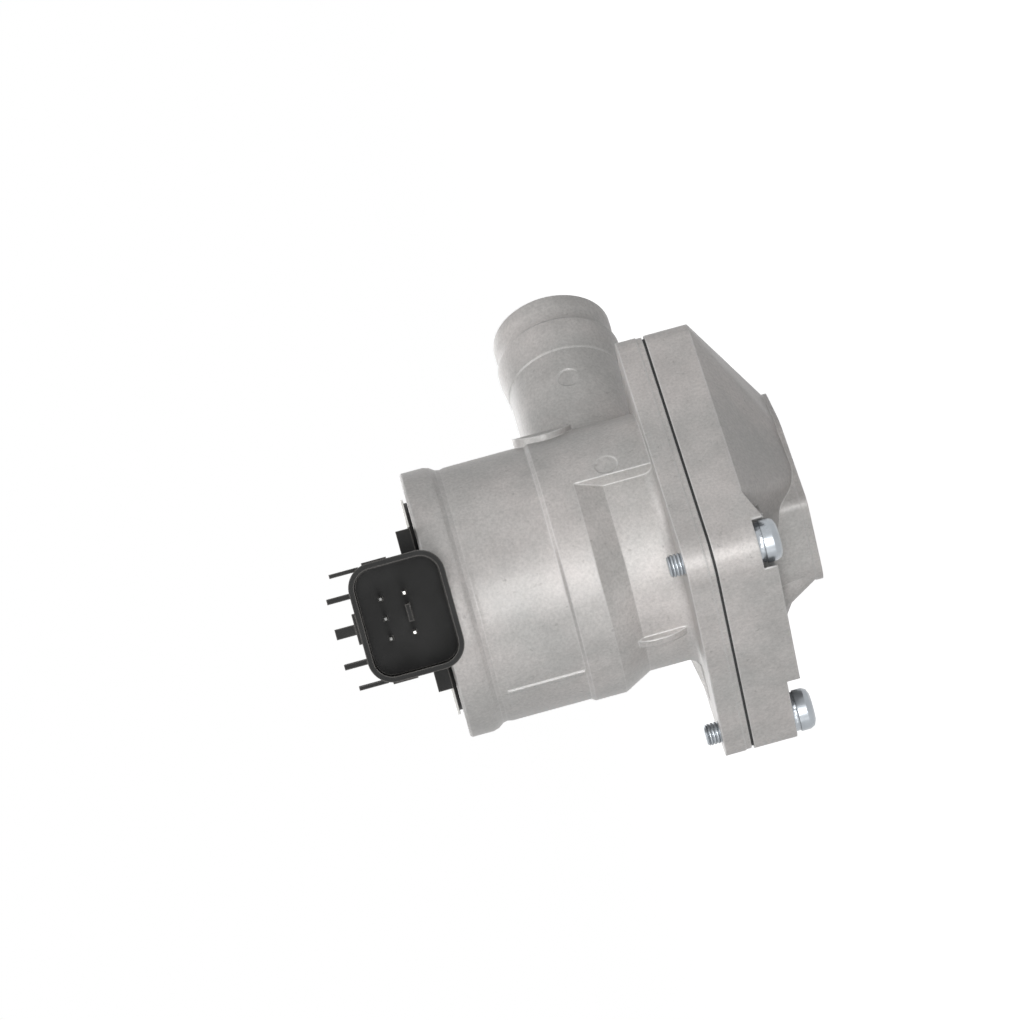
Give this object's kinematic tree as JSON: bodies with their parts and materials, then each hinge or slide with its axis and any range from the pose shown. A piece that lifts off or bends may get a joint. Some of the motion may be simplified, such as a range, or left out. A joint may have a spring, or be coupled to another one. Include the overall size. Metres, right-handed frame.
{
  "type": "air valve with reed check valve and solenoid",
  "caption": "Die-cast engine air valve: hose spigot inlet, solenoid poppet, reed check valve, pressure sensor and socket, and a slanted duct to a two-bolt outlet flange.",
  "frame": {"origin": "centre of the outlet port on its mounting face", "axes": "+Z along the valve axis from the outlet face to the connector end, +X along the hose spigot, Y = 0 is the castings' parting plane"},
  "size_m": [0.113, 0.0824, 0.1076],
  "materials": {
    "casting": "bare die casting, grainy, dull",
    "machined_aluminium": "machined",
    "gasket": "dark coated steel gasket",
    "zinc_steel": "bright zinc plating",
    "stainless": "satin stainless steel",
    "soft_iron": "turned iron",
    "plate_steel": "pale stamped plate",
    "bronze": "bearing bronze",
    "tinned_pins": "tinned brass",
    "copper_wire": "enamelled copper winding",
    "rubber": "matte black rubber",
    "bobbin_plastic": "moulded",
    "black_plastic": "dark moulded, fine grain",
    "board": "circuit board with coating",
    "sensor_plastic": "moulded sensor case"
  },
  "bodies": {
    "housing": {"valve_body": "casting", "outlet_housing": "casting", "flange_gasket": "gasket", "flange_screws": "zinc_steel", "screw_washers": "zinc_steel", "reed_seat_plate": "machined_aluminium", "reed_seat_seal": "rubber", "reed_root": "stainless", "reed_stopper": "stainless", "reed_screws": "zinc_steel", "return_spring": "stainless", "spring_cup": "stainless", "stem_bush": "bronze", "stem_seal": "rubber", "guide_sleeve": "bronze", "stator_core": "soft_iron", "stop_pad": "rubber", "yoke_can": "soft_iron", "end_plate": "soft_iron", "coil_bobbin": "bobbin_plastic", "coil_winding": "copper_wire", "coil_terminals": "tinned_pins", "cap_seal": "rubber", "end_cap": "black_plastic", "retaining_plate": "plate_steel", "sensor_board": "board", "pressure_sensor": "sensor_plastic", "sensor_pins": "tinned_pins", "solenoid_pins": "tinned_pins"},
    "poppet": {"poppet_plate": "stainless", "poppet_seal": "rubber", "poppet_nut": "zinc_steel", "valve_stem": "stainless", "plunger": "soft_iron"},
    "reed_left": {"reed_petal_left": "stainless"},
    "reed_right": {"reed_petal_right": "stainless"}
  },
  "joints": [
    {"name": "poppet_lift", "type": "slide", "parent": "housing", "child": "poppet", "axis": [0, 0, 1], "range_m": [0, 0.006], "stiffness_N_per_m": 800, "springref_m": -0.0075, "deforming": ["return_spring"]},
    {"name": "reed_left_bend", "type": "hinge", "parent": "housing", "child": "reed_left", "pos_m": [0.0055, -0.008, 0.01945], "axis": [0, -1, 0], "range_deg": [0, 12], "stiffness_Nm_per_rad": 0.02, "springref_deg": -2.86},
    {"name": "reed_right_bend", "type": "hinge", "parent": "housing", "child": "reed_right", "pos_m": [0.0055, 0.008, 0.01945], "axis": [0, -1, 0], "range_deg": [0, 12], "stiffness_Nm_per_rad": 0.02, "springref_deg": -2.86}
  ]
}
